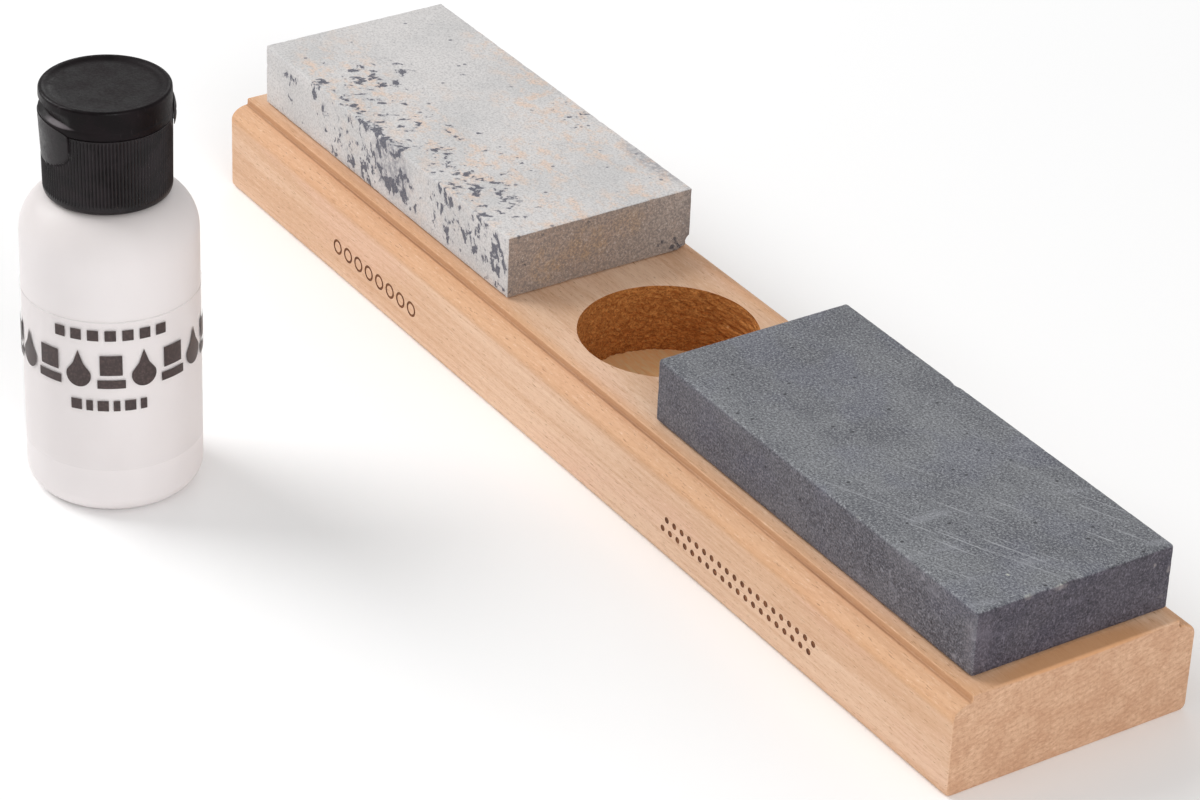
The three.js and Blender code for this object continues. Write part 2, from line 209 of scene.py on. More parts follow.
class Shader:
    """A node material, built with short calls. Places are in metres, and the sizes of textures in mm."""

    def __init__(self, name):
        self.material = bpy.data.materials.new(name)
        self.material.use_nodes = True
        self.tree = self.material.node_tree
        self.bsdf = next(n for n in self.tree.nodes if n.type == "BSDF_PRINCIPLED")
        self.coordinates = self.tree.nodes.new("ShaderNodeTexCoord")

    def plug(self, value, socket):
        """Links a socket, or sets it to a plain value. None leaves it as it is."""
        if isinstance(value, bpy.types.NodeSocket):
            self.tree.links.new(value, socket)
        elif value is not None:
            socket.default_value = (*value, 1.0) if socket.type == "RGBA" else value

    def add(self, kind, **inputs):
        """A new node. Its inputs go by name, with underscores for the spaces."""
        node = self.tree.nodes.new("ShaderNode" + kind)
        for name, value in inputs.items():
            self.plug(value, node.inputs[name.replace("_", " ")])
        return node

    def place(self, size, turn=None, centre=None):
        """Coordinates from a centre, turned, in which one unit is size mm along each axis."""
        sizes = size if isinstance(size, tuple) else (size, size, size)
        node = self.add(
            "Mapping", Vector=self.coordinates.outputs["Object"],
            Location=centre, Rotation=turn, Scale=Vector(sizes) * MM,
        )
        node.vector_type = "TEXTURE"
        return node.outputs["Vector"]

    def noise(self, size, detail=3, roughness=0.5, distortion=0.0, turn=None):
        return self.add(
            "TexNoise", Vector=self.place(size, turn),
            Scale=1.0, Detail=detail, Roughness=roughness, Distortion=distortion,
        ).outputs["Fac"]

    def cells(self, size):
        return self.add("TexVoronoi", Vector=self.place(size), Scale=1.0).outputs["Distance"]

    def bands(self, size, frequency, distortion, turn):
        """Wavy bands stacked along Z."""
        node = self.add(
            "TexWave", Vector=self.place(size, turn),
            Scale=frequency, Distortion=distortion, Detail=2.0, Detail_Scale=0.6,
        )
        node.bands_direction = "Z"
        return node.outputs["Fac"]

    def math(self, operation, *values, clamp=False):
        node = self.add("Math")
        node.operation = operation
        node.use_clamp = clamp
        for value, socket in zip(values, node.inputs):
            self.plug(value, socket)
        return node.outputs[0]

    def times(self, a, b):
        return self.math("MULTIPLY", a, b)

    def spread(self, value, low, high, to_low=0.0, to_high=1.0):
        """Maps low..high of a value to to_low..to_high, smoothly and clamped."""
        node = self.add(
            "MapRange", Value=value, From_Min=low, From_Max=high, To_Min=to_low, To_Max=to_high
        )
        node.interpolation_type = "SMOOTHSTEP"
        return node.outputs["Result"]

    def mix(self, factor, a, b, blend="MIX"):
        node = self.add("Mix")
        node.data_type = "RGBA"
        node.blend_type = blend
        self.plug(factor, node.inputs[0])
        self.plug(a, node.inputs[6])
        self.plug(b, node.inputs[7])
        return node.outputs[2]

    def layer(self, color, tint, value, low, high, strength=1.0):
        """Lays a tint over a colour: none where value is at low, and strength where it is at high."""
        return self.mix(self.spread(value, low, high, 0, strength), color, tint)

    def blob(self, centre, radii, ragged=None, amount=0.0, core=0.45):
        """1 near a centre, falling to 0 at the radii, with an edge that a texture makes ragged."""
        length = self.add("VectorMath")
        length.operation = "LENGTH"
        self.plug(self.place(radii, centre=centre), length.inputs[0])
        distance = length.outputs["Value"]
        if ragged is not None:
            distance = self.math("ADD", self.math("MULTIPLY_ADD", ragged, amount, -amount / 2), distance)
        return self.spread(distance, core, 1.0, 1, 0)

    def heaped(self, low, places):
        """Adds up weighted blobs. Each place is (offset from low, radii, weight), in mm."""
        total = 0.0
        for offset, radii, weight in places:
            total = self.math("MULTIPLY_ADD", self.blob(low + Vector(offset) * MM, radii), weight, total)
        return total

    def axes(self, source="Object"):
        """The three components of the position, or of the normal."""
        return tuple(self.add("SeparateXYZ", Vector=self.coordinates.outputs[source]).outputs)

    def bump(self, height, strength, depth):
        return self.add("Bump", Height=height, Strength=strength, Distance=depth * MM).outputs["Normal"]

    def finish(self, color, roughness, normal=None, **others):
        """Feeds the surface. Other inputs go by name."""
        inputs = {"Base_Color": color, "Roughness": roughness, "Normal": normal, **others}
        for name, value in inputs.items():
            self.plug(value, self.bsdf.inputs[name.replace("_", " ")])
        return self.material


# ---- Materials ----

def along_grain(s, streaks, fibre, rings):
    """Wood cut along the grain: a broad figure, streaks, fine fibre and short dark pores."""
    figure = s.noise((110, 7.5, 6), distortion=0.4)
    blush = s.noise((50, 14, 12), detail=2)
    pores = s.noise((2.2, 0.26, 0.26), detail=2, roughness=0.6)
    outward = s.math("ABSOLUTE", s.axes()[1])
    color = s.layer((0.695, 0.435, 0.275), (0.80, 0.555, 0.39), figure, 0.34, 0.66)
    color = s.layer(color, (0.80, 0.505, 0.375), blush, 0.5, 0.68, 0.4)
    # Painted shade: towards the edges of the flat, over the step and down the round-over, the wood is
    # painted a deeper orange that stands for the shading of the curve.
    near_edge = s.spread(outward, FLAT_HALF_WIDTH - 3 * MM, FLAT_HALF_WIDTH, 0, 0.62)
    round_over = s.spread(s.axes()[2], ROUND_OVER_FOOT - 1.2 * MM, ROUND_OVER_FOOT + 0.4 * MM)
    color = s.mix(s.times(round_over, near_edge), color, (0.66, 0.345, 0.165))
    color = s.layer(color, (0.56, 0.30, 0.165), streaks, 0.42, 0.72, 0.42)
    color = s.layer(color, (0.55, 0.29, 0.16), rings, 0.55, 1.0, 0.07)
    color = s.layer(color, (0.50, 0.26, 0.14), fibre, 0.5, 0.75, 0.62)
    color = s.layer(color, (0.92, 0.70, 0.52), fibre, 0.46, 0.26, 0.5)
    return s.layer(color, (0.34, 0.165, 0.08), pores, 0.62, 0.72, 0.7)


def across_grain(s, rings):
    """The sawn end: growth rings, rays, specks and a few pale scratches."""
    scratches = s.noise((10, 12, 0.4), turn=(math.radians(-38), 0, 0))
    rays = s.noise((10, 0.4, 3), turn=(math.radians(5), 0, 0))
    saw = s.noise((10, 4.5, 3.5))
    speckle = s.noise((2, 1.1, 0.5), detail=4, roughness=0.8, turn=(math.radians(14), 0, 0))
    color = s.layer((0.58, 0.34, 0.21), (0.65, 0.405, 0.26), saw, 0.35, 0.65)
    color = s.layer(color, (0.42, 0.22, 0.12), rings, 0.5, 1.0, 0.22)
    color = s.layer(color, (0.45, 0.25, 0.14), rays, 0.5, 0.75, 0.3)
    color = s.layer(color, (0.42, 0.22, 0.125), speckle, 0.46, 0.68, 0.75)
    color = s.layer(color, (0.86, 0.6, 0.42), speckle, 0.46, 0.28, 0.5)
    return s.layer(color, (0.90, 0.66, 0.48), scratches, 0.66, 0.8, 0.4)


def step_shade(s, color, streaks):
    """Paints shade on the step along the flat: a darker riser, and a painted shadow line in the crease at
    its foot.
    """
    step = BLOCK_HIGH.z - STEP_HEIGHT
    _, across, height = s.axes()
    sideways = s.math("SUBTRACT", s.math("ABSOLUTE", across), FLAT_HALF_WIDTH + EDGE_EASE)
    beside = s.spread(s.math("ABSOLUTE", sideways), 0.05 * MM, 0.4 * MM, 1, 0)
    level = s.spread(s.math("ABSOLUTE", s.math("SUBTRACT", height, step)), 0.1 * MM, 0.45 * MM, 1, 0)
    upright = s.spread(s.math("ABSOLUTE", s.axes("Normal")[1]), 0.6, 0.9, 0, 0.6)
    riser = s.times(s.spread(height, step, step + 0.2 * MM), upright)
    # Painted shade on the upright riser.
    color = s.mix(riser, color, (0.46, 0.235, 0.115))
    # Painted shadow in the crease at the step's foot, broken up by the streaks.
    dust_and_shade = s.times(s.times(beside, level), s.spread(streaks, 0.3, 0.7, 0.4, 0.8))
    return s.mix(dust_and_shade, color, (0.22, 0.09, 0.035))


def wood_material():
    s = Shader("pale_hardwood")
    streaks = s.noise((35, 1.1, 0.9), detail=4, roughness=0.6)
    fibre = s.noise((2.2, 0.3, 0.3), detail=4, roughness=0.75, distortion=0.3)
    rings = s.bands(1000, 240, 3.2, turn=(math.radians(12), 0, math.radians(0.4)))
    end_face = s.spread(s.math("ABSOLUTE", s.axes("Normal")[0]), 0.75, 0.95)
    color = s.mix(end_face, along_grain(s, streaks, fibre, rings), across_grain(s, rings))
    color = step_shade(s, color, streaks)
    # Painted shadow: the hard stone's shadow on the flat strip at the near end, painted deeper
    # orange-brown.
    stone_shadow = s.blob((BLOCK_HIGH.x - 1 * MM, 0, BLOCK_HIGH.z), (5, 24, 0.8))
    color = s.mix(s.times(stone_shadow, 0.85), color, (0.64, 0.32, 0.145))
    relief = s.math("ADD", fibre, s.times(streaks, 0.8))
    roughness = s.spread(fibre, 0.3, 0.7, 0.52, 0.7)
    return s.finish(color, roughness, s.bump(relief, 0.5, 0.2), Specular_IOR_Level=0.3)


def bored_wood_material():
    """Raw wood left by the boring bit: darker and torn on the wall. The floor is painted much paler, as
    painted light, since little light reaches into the pocket.
    """
    s = Shader("bored_hardwood")
    torn = s.noise((4.5, 0.9, 0.6), detail=5, roughness=0.7, distortion=0.8)
    pores = s.noise((0.7, 0.3, 0.3), roughness=0.7)
    floor = s.spread(s.axes("Normal")[2], 0.6, 0.95)
    wall_color = s.layer((0.37, 0.125, 0.026), (0.70, 0.31, 0.09), torn, 0.35, 0.68)
    wall_color = s.layer(wall_color, (0.13, 0.04, 0.01), pores, 0.46, 0.74, 0.75)
    # Painted light: the floor's colour is pushed to full brightness.
    floor_color = s.layer((1.0, 0.58, 0.26), (1.0, 0.70, 0.37), torn, 0.35, 0.7)
    color = s.mix(floor, wall_color, floor_color)
    relief = s.math("ADD", torn, s.times(pores, 0.6))
    roughness = s.spread(torn, 0.3, 0.7, 0.75, 0.92)
    return s.finish(color, roughness, s.bump(relief, 0.9, 0.3), Specular_IOR_Level=0.2)


def burnt_wood_material():
    s = Shader("burnt_wood")
    char = s.noise((0.7, 0.4, 0.4), roughness=0.7)
    color = s.layer((0.13, 0.045, 0.018), (0.30, 0.12, 0.05), char, 0.35, 0.7)
    return s.finish(color, s.spread(char, 0.3, 0.7, 0.75, 0.95), s.bump(char, 0.6, 0.15))


# Where dark flecks crowd on the soft stone: (offset from its low corner, radii, weight), in mm.
SOFT_STONE_FLECKS = (
    ((9.4, 0, 8), (5, 4, 5), 0.13),
    ((20, 0, 12), (2.6, 4, 4), 0.2),
    ((24, 0, 9), (2.2, 3, 3.5), 0.19),
    ((31, 0, 12), (7, 5, 4), 0.09),
    ((41, 0, 10.5), (8, 4, 6), 0.09),
    ((50, 0, 8), (9, 4, 8), 0.12),
    ((58, 0, 5), (7, 4, 6), 0.13),
    ((34, 0, 4), (13, 4, 6), 0.14),
    ((46, 0, 3), (10, 4, 5), 0.1),
    ((71, 0, 7), (9, 4, 9), 0.15),
    ((84, 0, 7), (8, 4, 9), 0.15),
    ((91, 0, 6), (5, 6, 9), 0.12),
    ((45, 5, 13.7), (32, 8, 4), 0.05),
    ((55, 9, 12.7), (44, 16, 4), 0.07),
    ((22, 13, 12.7), (9, 10, 3), 0.12),
    ((78, 5, 12.7), (16, 9, 3), 0.06),
    ((56, 37, 12.7), (9, 5, 3), 0.1),
    ((93, 37, 1.5), (2.5, 5, 3), 0.12),
)
# Where it is smoky, and where rust has stained its sawn end, in the same terms.
SOFT_STONE_HAZE = (
    ((50, -1, 8), (10, 4, 8), 0.8),
    ((80, 41, 12.7), (13, 4, 5), 0.6),
    ((93, 41, 6), (4, 3, 10), 0.5),
)
SOFT_STONE_STAINS = (
    ((93, 9, 5), (2, 5, 5), 0.65),
    ((93, 18, 7), (2, 6, 5), 0.6),
    ((93, 27, 9), (2, 5, 4), 0.35),
)


def bedding():
    """The lie of the soft stone's streaks: they are thin across this plane and long in it."""
    along = Vector((0.56, 0.83, 0)).normalized()
    down = Vector((0.24, 0.0, -0.97))
    across = along.cross(down).normalized()
    down = across.cross(along)
    return Matrix((along, down, across)).transposed().to_euler()


def soft_ground(s):
    """The soft stone's pale ground, blushed with orange, mostly on the top."""
    cloud = s.noise((16, 16, 12))
    blush = s.noise((4.6, 3.6, 3.6), detail=5, roughness=0.72)
    broad = s.noise((30, 20, 20), detail=1)
    color = s.layer((0.585, 0.575, 0.57), (0.66, 0.64, 0.63), cloud, 0.35, 0.65)
    warm = s.times(s.spread(blush, 0.46, 0.64, 0, 0.75), s.spread(broad, 0.36, 0.54))
    topside = s.spread(s.axes("Normal")[2], 0.3, 0.8, 0.25, 1)
    return s.mix(s.times(warm, topside), color, (0.76, 0.56, 0.43))


def soft_flecks(s, color, low):
    """Dark flecks that crowd in some places, with smoky patches and lone specks."""
    streaks = s.noise((2.2, 2.4, 1.6), detail=5, roughness=0.6, distortion=0.35, turn=bedding())
    level = s.math("ADD", streaks, s.heaped(low, SOFT_STONE_FLECKS))
    mottle = s.spread(s.noise(1.2, detail=4, roughness=0.7), 0.38, 0.62, 0.25, 1.25)
    smoke = s.math("MULTIPLY", s.heaped(low, SOFT_STONE_HAZE), mottle, clamp=True)
    color = s.mix(smoke, color, (0.27, 0.265, 0.29))
    color = s.layer(color, (0.33, 0.33, 0.37), level, 0.64, 0.71, 0.4)
    color = s.layer(color, (0.078, 0.08, 0.11), level, 0.695, 0.725, 0.95)
    return s.layer(color, (0.12, 0.12, 0.15), s.cells((4.6, 5, 4.6)), 0.1, 0.06, 0.8)


def soft_stone_material(low, high):
    s = Shader("soft_oilstone")
    sand = s.noise(0.46, roughness=0.78)
    color = soft_flecks(s, soft_ground(s), low)
    end_face = s.spread(s.axes("Normal")[0], 0.7, 0.95)
    # Painted shade: the sawn end is painted darker and browner, a little less so towards its +Y side; part
    # of the brown is the end's own tone.
    end_shade_and_tone = s.times(end_face, s.spread(s.axes()[1], high.y - 22 * MM, high.y, 1, 0.85))
    color = s.mix(end_shade_and_tone, color, (0.50, 0.395, 0.325), "MULTIPLY")
    smears = s.spread(s.noise((3, 2.8, 4), detail=4, roughness=0.7), 0.38, 0.62)
    color = s.mix(s.times(s.heaped(low, SOFT_STONE_STAINS), smears), color, (0.42, 0.27, 0.145))
    color = s.layer(color, (0.33, 0.32, 0.325), sand, 0.44, 0.66, 0.5)
    coarse = s.times(end_face, s.spread(sand, 0.46, 0.6, 0, 0.55))
    color = s.mix(coarse, color, (0.13, 0.10, 0.085))
    color = s.layer(color, (0.76, 0.745, 0.735), sand, 0.46, 0.3, 0.3)
    roughness = s.spread(sand, 0.3, 0.7, 0.78, 0.95)
    return s.finish(color, roughness, s.bump(sand, 0.4, 0.14), Specular_IOR_Level=0.3)


# Pale nicks in the hard stone: (offset from its low corner, radii, strength), in mm.
HARD_STONE_NICKS = (
    ((93, 17.1, 12.1), (1.3, 1.7, 0.8), 0.85),
    ((93, 10.4, 12.3), (0.9, 1.5, 0.7), 0.45),
    ((93, 37.2, 9.9), (0.5, 0.45, 0.7), 0.9),
    ((93, 40.4, 8.2), (0.6, 0.5, 1.2), 0.8),
    ((93, 39.5, 3), (0.6, 1.2, 0.5), 0.35),
    ((86.4, 11.2, 12.7), (0.45, 0.4, 0.4), 0.8),
    ((60, 0, 12.7), (0.9, 0.6, 0.5), 0.3),
    ((24, 0.2, 12.7), (0.8, 0.5, 0.4), 0.25),
)


def hard_ground(s):
    """The hard stone's dark, cloudy, salt-and-pepper ground."""
    grain = s.noise(0.42, roughness=0.8)
    cloud = s.noise((20, 13, 10), detail=4, roughness=0.65)
    color = s.layer((0.104, 0.107, 0.122), (0.172, 0.178, 0.19), cloud, 0.34, 0.66)
    color = s.layer(color, (0.125, 0.13, 0.175), s.noise(12, detail=2), 0.45, 0.65, 0.4)
    color = s.layer(color, (0.38, 0.39, 0.405), grain, 0.46, 0.7, 0.85)
    return grain, s.layer(color, (0.022, 0.022, 0.03), grain, 0.5, 0.3, 0.9)


def hard_wear(s, color, low, high):
    """Scuffs towards the near end, pits all over and nicks on the edges."""
    veins = s.noise((19, 0.6, 1.2), detail=2, distortion=0.6, turn=(0, 0, math.radians(24)))
    rubs = s.noise((4, 16, 4), turn=(0, 0, math.radians(-12)))
    worn = s.spread(s.axes()[0], low.x + 30 * MM, high.x - 10 * MM, 0.15, 1)
    color = s.mix(s.times(s.spread(veins, 0.6, 0.74, 0, 0.65), worn), color, (0.42, 0.43, 0.45))
    color = s.mix(s.times(s.spread(rubs, 0.56, 0.72, 0, 0.3), worn), color, (0.38, 0.39, 0.42))
    color = s.layer(color, (0.02, 0.02, 0.025), s.cells((4, 4.5, 4)), 0.1, 0.05, 0.8)
    ragged = s.noise(0.6)
    for offset, radii, strength in HARD_STONE_NICKS:
        nick = s.blob(low + Vector(offset) * MM, radii, ragged, 1.8, core=0.05)
        color = s.mix(s.times(nick, strength), color, (0.56, 0.57, 0.5))
    return color


def hard_stone_material(low, high):
    s = Shader("hard_oilstone")
    grain, color = hard_ground(s)
    color = hard_wear(s, color, low, high)
    # Real pale dust by the foot of the near end.
    dust_and_shade = s.times(s.blob((high.x, low.y, low.z + 6 * MM), (4, 5, 8)), grain)
    color = s.mix(s.times(dust_and_shade, 0.5), color, (0.36, 0.35, 0.35))
    along, _, upward = s.axes("Normal")
    painted_side_shade = s.spread(upward, 0.3, 0.9, 1, 0) # painted shade: the sides are painted darker than the top
    color = s.mix(painted_side_shade, color, (0.66, 0.62, 0.66), "MULTIPLY")
    # Painted shade: the end is painted darker still.
    color = s.mix(s.spread(along, 0.7, 0.95), color, (0.62, 0.57, 0.62), "MULTIPLY")
    roughness = s.spread(grain, 0.3, 0.7, 0.5, 0.75)
    return s.finish(color, roughness, s.bump(grain, 0.5, 0.16), Specular_IOR_Level=0.35)


def glue_material():
    s = Shader("glue_bed")
    lumps = s.noise(2)
    color = s.layer((0.05, 0.026, 0.014), (0.12, 0.065, 0.035), lumps, 0.35, 0.65)
    return s.finish(color, s.spread(lumps, 0.3, 0.7, 0.4, 0.65), s.bump(lumps, 0.4, 0.2))


def milky_plastic_material():
    s = Shader("milky_plastic")
    flow = s.noise((12, 12, 25), detail=2)
    skin = s.noise(1.2, roughness=0.6)
    color = s.layer((0.80, 0.745, 0.74), (0.84, 0.785, 0.78), flow, 0.3, 0.7)
    # Painted shade: the shoulder is painted greyer, standing for the shade under the cap.
    low, high = SHOULDER_START - 2 * MM, SHOULDER_START + 9 * MM
    color = s.layer(color, (0.68, 0.625, 0.605), s.axes()[2], low, high, 0.5)
    return s.finish(
        color, s.spread(skin, 0.3, 0.7, 0.36, 0.5), s.bump(skin, 0.05, 0.1),
        Subsurface_Weight=0.2, Subsurface_Scale=4 * MM, Subsurface_Radius=(1, 0.95, 0.93),
        Transmission_Weight=0.03, IOR=1.45, Specular_IOR_Level=0.3,
    )


def film_material():
    """Clear film that shows only as a thin sheen, and a little more at its cut top edge."""
    s = Shader("label_film")
    ripple = s.noise((6, 6, 12), detail=2)
    color = s.layer((0.80, 0.76, 0.75), (0.86, 0.82, 0.81), ripple, 0.3, 0.7)
    top_edge = s.spread(s.axes()[2], LABEL_HIGH.z - 0.35 * MM, LABEL_HIGH.z - 0.1 * MM)
    color = s.mix(s.times(top_edge, 0.5), color, (0.5, 0.47, 0.46))
    cover = s.math("MULTIPLY_ADD", top_edge, 0.1, 0.05)
    return s.finish(color, s.spread(ripple, 0.3, 0.7, 0.12, 0.2), s.bump(ripple, 0.15, 0.4), Alpha=cover)


def ink_material():
    s = Shader("label_ink")
    speckle = s.noise(0.5, roughness=0.7)
    color = s.layer((0.032, 0.018, 0.017), (0.085, 0.052, 0.048), speckle, 0.4, 0.75)
    return s.finish(color, s.spread(speckle, 0.3, 0.7, 0.35, 0.5), s.bump(speckle, 0.1, 0.05))


def oil_material():
    s = Shader("honing_oil")
    shimmer = s.noise(10, detail=2)
    color = s.layer((0.93, 0.90, 0.80), (0.96, 0.94, 0.87), shimmer, 0.3, 0.7)
    return s.finish(color, 0.04, s.bump(shimmer, 0.02, 0.2), Transmission_Weight=0.9, IOR=1.46)


def foam_material():
    s = Shader("seal_foam")
    bubbles = s.cells(0.3)
    color = s.layer((0.72, 0.72, 0.70), (0.86, 0.86, 0.84), bubbles, 0.1, 0.6)
    return s.finish(color, 0.9, s.bump(bubbles, 0.5, 0.1))


def black_plastic_material(name, base, shine):
    """Black plastic: base is its colour where it is darkest, and shine its reflectivity."""
    s = Shader(name)
    skin = s.noise(0.5, roughness=0.65)
    handling = s.noise((6, 6, 4), detail=4, roughness=0.65)
    scuffs = s.noise((5, 0.25, 4), detail=2, turn=(0, 0, math.radians(35)))
    color = s.mix(s.spread(handling, 0.35, 0.7), base, tuple(2.4 * part for part in base))
    color = s.layer(color, (0.08, 0.068, 0.072), scuffs, 0.68, 0.76, 0.22)
    # Painted highlight: a pale patch on the thumb lip, where it catches the light.
    highlight_at = around(BOTTLE_AXIS, LIP_HIGHLIGHT, LID_RADIUS - 0.4 * MM, SCOOP_LEDGE + LIP_SLOPE / 2)
    lip = s.blob(highlight_at, (4.2, 4.2, 0.5))
    color = s.mix(s.times(lip, 0.8), color, (0.16, 0.14, 0.15))
    roughness = s.math("ADD", s.spread(skin, 0.3, 0.7, 0.26, 0.4), s.spread(handling, 0.35, 0.7, 0, 0.16))
    return s.finish(color, roughness, s.bump(skin, 0.2, 0.12), Specular_IOR_Level=shine)


# ---- Block ----
FLAT_HALF_WIDTH = 21.8 * MM
STEP_HEIGHT = 1.3 * MM
ROUND_OVER_HEIGHT = 2.6 * MM
EDGE_EASE = 0.28 * MM # what sandpaper takes off the sharp edges
BOTTOM_EASE = 1.2 * MM
END_EASE = 0.55 * MM
ROUND_OVER_FOOT = BLOCK_HIGH.z - STEP_HEIGHT - ROUND_OVER_HEIGHT
POCKET_RADIUS = 17.1 * MM
POCKET_CENTRE = Vector((-0.4 * MM, 0.7 * MM, 0))
POCKET_FLOOR = BLOCK_HIGH.z - 13.9 * MM
MARK_DEPTH = 0.14 * MM
CUT_PAST = 0.3 * MM # how far a cutter stands out of the face it cuts
RING_COUNT, RING_START, RING_APART = 8, -78 * MM, 4.05 * MM
RING_HEIGHT, RING_OUTER, RING_INNER = 6.7 * MM, 1.6 * MM, 1.08 * MM
DOT_COUNT, DOT_START, DOT_APART = 20, 38 * MM, 2.35 * MM
DOT_HEIGHT, DOT_ROW_STEP, DOT_RADIUS = 5.7 * MM, (1.17 * MM, 2.2 * MM), 0.62 * MM


def block_section():
    """The block's section as (y, z) points, anticlockwise, seen from the +X end."""
    half = (BLOCK_HIGH.y - BLOCK_LOW.y) / 2
    top = BLOCK_HIGH.z
    step = top - STEP_HEIGHT
    flat, ease = FLAT_HALF_WIDTH, EDGE_EASE
    right = arc((half - BOTTOM_EASE, BOTTOM_EASE), BOTTOM_EASE, -90, 0, 5)
    right += arc((flat, ROUND_OVER_FOOT), (half - flat, ROUND_OVER_HEIGHT), 0, 84, 12)
    right += arc((flat + ease, step + ease), ease, -90, -180, 4)
    right += arc((flat - ease, top - ease), ease, 0, 90, 4)
    return right + [(-y, z) for y, z in reversed(right)]


def eased(section, inset):
    """The section drawn in by an inset, towards the middle of the block."""
    middle = BLOCK_HIGH.z / 2
    half_width = (BLOCK_HIGH.y - BLOCK_LOW.y) / 2
    scale_y, scale_z = 1 - inset / half_width, 1 - inset / middle
    return [(y * scale_y, middle + (z - middle) * scale_z) for y, z in section]


def block_stick(material):
    """The block before it is bored, with its end edges eased."""
    section = block_section()
    stations = []
    for degrees in (90, 68, 45, 22, 0):
        angle = math.radians(degrees)
        stations.append((BLOCK_LOW.x + END_EASE * (1 - math.sin(angle)), END_EASE * (1 - math.cos(angle))))
    stations += [(-x, inset) for x, inset in reversed(stations)]
    bm = bmesh.new()
    rings = [[bm.verts.new((x, y, z)) for y, z in eased(section, inset)] for x, inset in stations]
    for low, high in zip(rings, rings[1:]):
        bridge(bm, low, high)
    bm.faces.new(rings[0][::-1])
    bm.faces.new(rings[-1])
    return new_object("block_wood", bm, [material])


def bore_cutter(material):
    """What the boring bit takes out: its wall is torn along the grain, its floor faintly ringed."""
    over = 2 * MM
    ring_pitch, floor_relief = 1.4 * MM, 0.03 * MM
    profile = [(0.0, POCKET_FLOOR)]
    profile += rows((0.6 * MM, POCKET_FLOOR), (POCKET_RADIUS, POCKET_FLOOR), 0.7 * MM)
    profile += rows((POCKET_RADIUS, POCKET_FLOOR), (POCKET_RADIUS, BLOCK_HIGH.z + over), 0.35 * MM)[1:]
    profile += [(0.0, BLOCK_HIGH.z + over)]

    def torn(angle, r, z):
        point = Vector((r * math.cos(angle), r * math.sin(angle), z)) / MM
        if r < POCKET_RADIUS - 0.01 * MM:
            ring = 0.5 + 0.5 * math.sin(2 * math.pi * r / ring_pitch)
            return r, z + floor_relief * (ring + noise.noise(point))
        grain = Vector((point.x * 0.32, point.y * 1.5, point.z * 1.5))
        tear = noise.fractal(grain, 0.9, 2.1, 4)
        depth_share = smoothstep(BLOCK_HIGH.z, BLOCK_HIGH.z - 1.5 * MM, z) if z < BLOCK_HIGH.z else 0.0
        return r + tear * (0.05 + 0.3 * depth_share) * MM, z

    return turned("bore_cutter", profile, 288, material, centre=POCKET_CENTRE, reshape=torn)


def mark_cutter(material):
    """Burnt-in grit marks: a row of open rings by the coarse stone, two rows of dots by the fine one."""
    bm = bmesh.new()
    side = BLOCK_LOW.y

    def on_side(u, v, depth):
        return (u, side + depth, v)

    def circle(x, z, radius, sides):
        return arc((x, z), radius, 0, 360 - 360 / sides, sides - 1)

    def ring(x, z, sides):
        near, far = -CUT_PAST, MARK_DEPTH
        corners = ((RING_OUTER, near), (RING_INNER, near), (RING_INNER, far), (RING_OUTER, far))
        loops = []
        for radius, depth in corners:
            loops.append([bm.verts.new(on_side(u, v, depth)) for u, v in circle(x, z, radius, sides)])
        for a, b in zip(loops, loops[1:] + loops[:1]):
            bridge(bm, a, b)

    for i in range(RING_COUNT):
        ring(RING_START + RING_APART * i, RING_HEIGHT, 28)
    for i in range(DOT_COUNT):
        for row in range(2):
            x = DOT_START + DOT_APART * i + DOT_ROW_STEP[0] * row
            outline = circle(x, DOT_HEIGHT + DOT_ROW_STEP[1] * row, DOT_RADIUS, 18)
            prism(bm, outline, -CUT_PAST, MARK_DEPTH, on_side)
    return new_object("mark_cutter", bm, [material])


def make_block():
    block = block_stick(wood_material())
    boolean(block, bore_cutter(bored_wood_material()), "DIFFERENCE")
    boolean(block, mark_cutter(burnt_wood_material()), "DIFFERENCE")
    settle(block, "block", "wood", "base_block")


# ---- Stones ----

def edge_stations(low, high, ease, step):
    """Places along one side: close together where the edge rounds over, even between."""
    shares = (0, 0.2, 0.45, 0.72, 1)
    near = [low + ease * share for share in shares]
    far = [high - ease * share for share in reversed(shares)]
    count = max(1, round((far[0] - near[-1]) / step))
    middle = [near[-1] + (far[0] - near[-1]) * i / count for i in range(1, count)]
    return near + middle + far


def stone_mesh(name, low, high, ease, step, material, chip_at, wear):
    """A block of stone whose edges are eased and worn. chip_at(point) says how deep a chip is there."""
    stations = [edge_stations(low[i], high[i], ease, step) for i in range(3)]
    bm = bmesh.new()
    vertices = {}
    centre = (low + high) / 2
    inner_low = low + Vector((ease, ease, ease))
    inner_high = high - Vector((ease, ease, ease))

    def vertex(places):
        """The vertex at a place along each axis, made the first time it is asked for."""
        point = Vector(stations[axis][places[axis]] for axis in range(3))
        key = point.copy().freeze()
        if key in vertices:
            return vertices[key]
        core = Vector(min(max(point[a], inner_low[a]), inner_high[a]) for a in range(3))
        outward = (point - core).normalized()
        point = core + outward * ease
        beyond = sum(1 for a in range(3) if not inner_low[a] < point[a] < inner_high[a])
        if beyond >= 2: # on an edge or a corner
            rough = noise.fractal(point / MM * 0.9, 0.8, 2.2, 3)
            point -= outward * max(0.0, rough) * wear
        point += (centre - point).normalized() * chip_at(point)
        vertices[key] = bm.verts.new(point)
        return vertices[key]

    for axis in range(3):
        first, second = (axis + 1) % 3, (axis + 2) % 3
        for end in (0, len(stations[axis]) - 1):
            lines = [
                [vertex({axis: end, first: i, second: j}) for j in range(len(stations[second]))]
                for i in range(len(stations[first]))
            ]
            for near, far in zip(lines, lines[1:]):
                bridge(bm, near, far, closed=False)
    return new_object(name, bm, [material])


